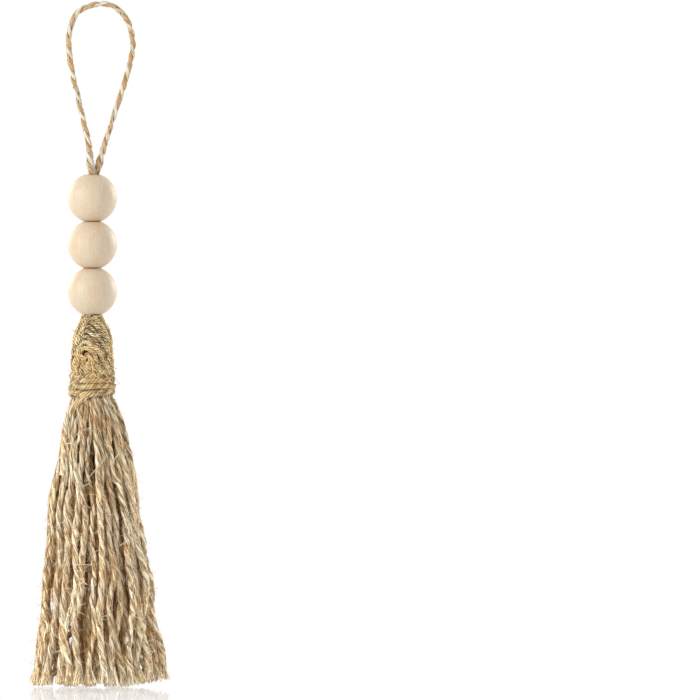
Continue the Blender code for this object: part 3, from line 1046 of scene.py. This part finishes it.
def brush_tree():
    given = new_tree(
        "Frayed ends", Length=8.0 * MM, Count=40, Points=6, Thick=0.14 * MM, Open=2.6 * MM,
        Turn=-1.3, Short=1.2 * MM, Curl=1.6, Seed=1,
    )
    paths = given["Geometry"]
    fibres = geo("DuplicateElements", paths, None, given["Count"], domain="SPLINE")
    number = own_number("CURVE")
    whole = geo("SplineLength")
    length = product(given["Length"], chance(SHORTEST, 1.0, number, 7))
    start = calc("SUBTRACT", whole, length)
    fibres = geo("TrimCurve", fibres, None, start, whole, mode="LENGTH")
    fibres = geo("ResampleCurve", fibres, None, given["Points"], mode="COUNT")

    opened = calc("POWER", along(), OPENING)
    angle = chance(0.0, math.tau, number, given["Seed"])
    angle = scale_add(along(), given["Turn"], angle)
    curl = shade("TexNoise", product(number, 3.7), 1.0, noise_dimensions="1D")
    angle = scale_add(product(opened, curl), given["Curl"], angle)
    first = product(geo("InputRadius"), 0.95)
    wide = product(given["Open"], chance(0.7, 1.0, number, 3))
    reach = shade("MapRange", opened, 0.0, 1.0, first, wide)
    reach = product(reach, calc("SQRT", chance(0.25, 1.0, number, 2)))
    x = product(reach, calc("COSINE", angle))
    y = product(reach, calc("SINE", angle))
    shorter = product(chance(0.0, given["Short"], number, 4), along())
    fibres = move(fibres, shift=xyz(x, y, shorter))

    fibres = keep(fibres, "tone", chance(0.0, 1.0, number, 5), domain="CURVE")
    space = vector("ADD", any_place(number, 6), xyz(0.0, 0.0, along()))
    fibres = keep(fibres, "fibre", space, VECTOR)
    thick = product(given["Thick"], scale_add(calc("SQRT", along()), 0.6, 0.4))
    return end_tree(sweep(fibres, circle(3), thick), given)


BRUSH = brush_tree()
show(grow("frayed_strand_ends", draw_paths("brushes", *zip(*lines)), BRUSH, Finish=END), "jute")

# %% [markdown]
# ## Loose fibres
#
# Jute is hairy: fine pale fibres stand off every strand. The tree scatters points over the
# finished yarn, sets a short curve on each, leaning off the surface and down, bends it with
# noise and gives it a hair's thickness. None of them dips below the foot.

# %% The loose-fibre tree
HAIR_POINTS = 6
HAIR_WAVES = 260.0  # bends for each metre
THINNING = -0.6  # the change of a hair's thickness to its tip
LOWEST = (-9.0, -9.0, 0.13 * MM)  # only the height matters


def hair_tree():
    given = new_tree(
        "Loose fibres", Density=65000.0, Shortest=1.2 * MM, Longest=6.0 * MM, Thick=0.12 * MM,
        Off=0.35, Down=0.5, Curl=3.0 * MM, Seed=1,
    )
    points = geo("DistributePointsOnFaces", given["Geometry"], None, given["Density"], given["Seed"])
    normal = points.node.outputs["Normal"]
    number = geo("InputIndex")
    any_way = chance((-1.0, -1.0, -1.0), (1.0, 1.0, 1.0), number, 2, VECTOR)
    lean = vector("ADD", vector("SCALE", normal, given["Off"]), any_way)
    lean = vector("ADD", lean, xyz(0.0, 0.0, product(given["Down"], -1.0)))
    turned = put("FunctionNodeAlignRotationToVector", None, None, lean, axis="Z")
    line = geo("CurvePrimitiveLine", (0.0, 0.0, 0.0), (0.0, 0.0, 1.0))
    line = geo("ResampleCurve", line, None, HAIR_POINTS, mode="COUNT")
    share = calc("POWER", chance(0.0, 1.0, number, 3), 2.0)
    size = shade("MapRange", share, 0.0, 1.0, given["Shortest"], given["Longest"])
    hairs = geo("InstanceOnPoints", points, None, line, None, None, turned, size)
    hairs = geo("RealizeInstances", hairs)

    which = own_number("CURVE")
    each = any_place(which, 4)
    here = vector("ADD", vector("SCALE", position(), HAIR_WAVES), each)
    bend = vector("SUBTRACT", noise(here, 1.0).node.outputs["Color"], (0.5, 0.5, 0.5))
    bend = vector("SCALE", bend, product(along(), 2.0, given["Curl"]))
    hairs = move(hairs, shift=bend)
    hairs = move(hairs, vector("MAXIMUM", position(), LOWEST))
    hairs = keep(hairs, "tone", chance(0.5, 1.0, which, 5), domain="CURVE")
    hairs = keep(hairs, "fibre", each, VECTOR)
    thick = product(given["Thick"], scale_add(along(), THINNING, 1.0))
    return end_tree(sweep(hairs, circle(3), thick), given)


HAIR = hair_tree()


def hairs_on(piece, slot, **sizes):
    hairs = grow("fibres_on_" + piece.name, piece, HAIR, keep_start=True, Finish=PALE, **sizes)
    return show(hairs, slot)


for number, piece in enumerate([*skirt[:2], head, binding, binding_end]):
    hairs_on(piece, "jute", Seed=number, Longest=(5.4 if piece in skirt else 3.4) * MM)
hairs_on(cord, "jute_cord", Density=60000.0, Longest=3.0 * MM, Thick=0.045 * MM, Down=0.0, Curl=1.0 * MM)

# %% [markdown]
# A few thick loose fibres are easy to see: crossings and hooks that lie on the skirt's
# front, and a bent one over the binding. Each is a row of sideways places and heights in
# mm, and lies on the surface that carries it.

# %% Lay the wisps that can be seen
WISP_THICK = 0.16 * MM
WISP_PROUD = 0.7
WISPS_MM = """
-4.8 74.9, -2.8 77.5, -1.1 79.4, 0.9 81.6, 2.2 83.8
5 82.2, 5.9 83.6, 6.8 84.8, 6.3 86
6.8 84.8, 8.5 84.9, 9.7 84.4
-6.2 72.7, -4.9 73.6, -3.6 74
-9.3 44.6, -6.2 44.8, -2.8 44.6
-7.2 39.8, -5.7 38.6, -4.4 37.5
-7.5 37.2, -6.4 38, -5.5 38.7
-8.4 36.3, -9.7 34.8, -10.7 33.6
-8.7 34.8, -10.2 33.5, -10.1 32, -9.7 30.3
7.4 51.6, 9 52.6, 10.4 53.4
-15.1 46.6, -14.5 49.3, -13.7 50.4
-1.7 27.5, -1.5 24.3, -0.3 23.2, 1 24.2, 1.4 26.8
-5.4 43.3, -4.6 44, -3.9 44.2"""
BENT_FIBRE_MM = table("-0.3 116.6 8.7, 1.6 114.1 9.3, 3.3 111.8 9.3, 4.6 113.2 9.1")


def on_neck(x, height, reach):
    """A place at the front, so far from the head's axis."""
    aside = x * MM - AXIS_X
    return Vector((x * MM, -math.sqrt((reach * MM) ** 2 - aside**2), height * MM))


wisps = [[on_skirt(x, height, WISP_PROUD) for x, height in table(row)] for row in WISPS_MM.split("\n")[1:]]
wisps.append([on_neck(*place) for place in BENT_FIBRE_MM])
wisps = [smooth(places, 4) for places in wisps]
spin(
    "single_stray_fibres", wisps, even(WISP_THICK, wisps), "jute", Step=0.7 * MM, Plies=1,
    Spread=0.0, Ply=1.0, Sides=5, Flutes=0.0, Ridge=0.0, Finish=PALE,
)

# %% [markdown]
# ## Floor and light
#
# The tassel stands on a white, slightly glossy light table. The floor glows, so it has no
# grey shadow, and mirrors a share of the tassel that fades with the distance from it. The
# room is plain white to the camera and in reflections, and lights the object less, so that
# three soft lamps can shape it: one from the left, and two from behind for the pale rims.

# %% Floor
FLOOR_RADIUS = 6.0
SHINE_NEAR = (0.06, 0.42)  # distance from the tassel's axis, and the share that is mirrored
SHINE_FAR = (0.2, 0.2)
SHINE_ROUGHNESS = 0.02


def floor_finish():
    finish, here = new_finish("white_floor")
    tree = finish.node_tree
    tree.nodes.remove(tree.nodes["Principled BSDF"])
    distance = vector("LENGTH", vector("SUBTRACT", here, (AXIS_X, 0.0, 0.0)))
    (near, most), (far, least) = SHINE_NEAR, SHINE_FAR
    share = shade("MapRange", distance, near, far, most, least)
    glow = shade("Emission", (*WHITE, 1.0), 1.0)
    gloss = shade("BsdfAnisotropic", (*WHITE, 1.0), SHINE_ROUGHNESS)
    both = shade("MixShader", share, glow, gloss)
    tree.links.new(both, tree.nodes["Material Output"].inputs["Surface"])
    return finish


shape = bmesh.new()
bmesh.ops.create_circle(shape, cap_ends=True, segments=96, radius=FLOOR_RADIUS)
floor_mesh = bpy.data.meshes.new("floor")
shape.to_mesh(floor_mesh)
shape.free()
floor_mesh.materials.append(floor_finish())
add("floor", floor_mesh)

# %% Light
ROOM_SEEN = 1.02
ROOM_LIGHT = 0.74
LAMP_SIZE = 0.6
scene.view_settings.view_transform = "Standard"


def white_room():
    """A white world that lights the object with less than the camera and mirrors see."""
    world = bpy.data.worlds.new("white_room")
    world.use_nodes = True
    tree = world.node_tree
    TREES.append(tree)
    rays = shade("LightPath").node.outputs
    seen = calc("MAXIMUM", rays["Is Camera Ray"], rays["Is Glossy Ray"])
    strength = shade("MapRange", seen, 0.0, 1.0, ROOM_LIGHT, ROOM_SEEN)
    background = tree.nodes["Background"]
    background.inputs["Color"].default_value = (*WHITE, 1.0)
    tree.links.new(strength, background.inputs["Strength"])
    return world


def soft_lamp(name, place, power):
    """A square lamp that faces the tassel's middle."""
    light = bpy.data.lights.new(name, "AREA")
    light.size = LAMP_SIZE
    light.energy = power
    lamp = add(name, light)
    lamp.location = place
    aim = Vector((AXIS_X, 0.0, 0.12)) - Vector(place)
    lamp.rotation_euler = aim.to_track_quat("-Z", "Y").to_euler()


scene.world = white_room()
soft_lamp("key_lamp", (-1.3, -0.8, 0.6), 13.0)
soft_lamp("left_rim_lamp", (-0.9, 1.1, 0.5), 7.0)
soft_lamp("right_rim_lamp", (1.1, 0.9, 0.5), 10.0)
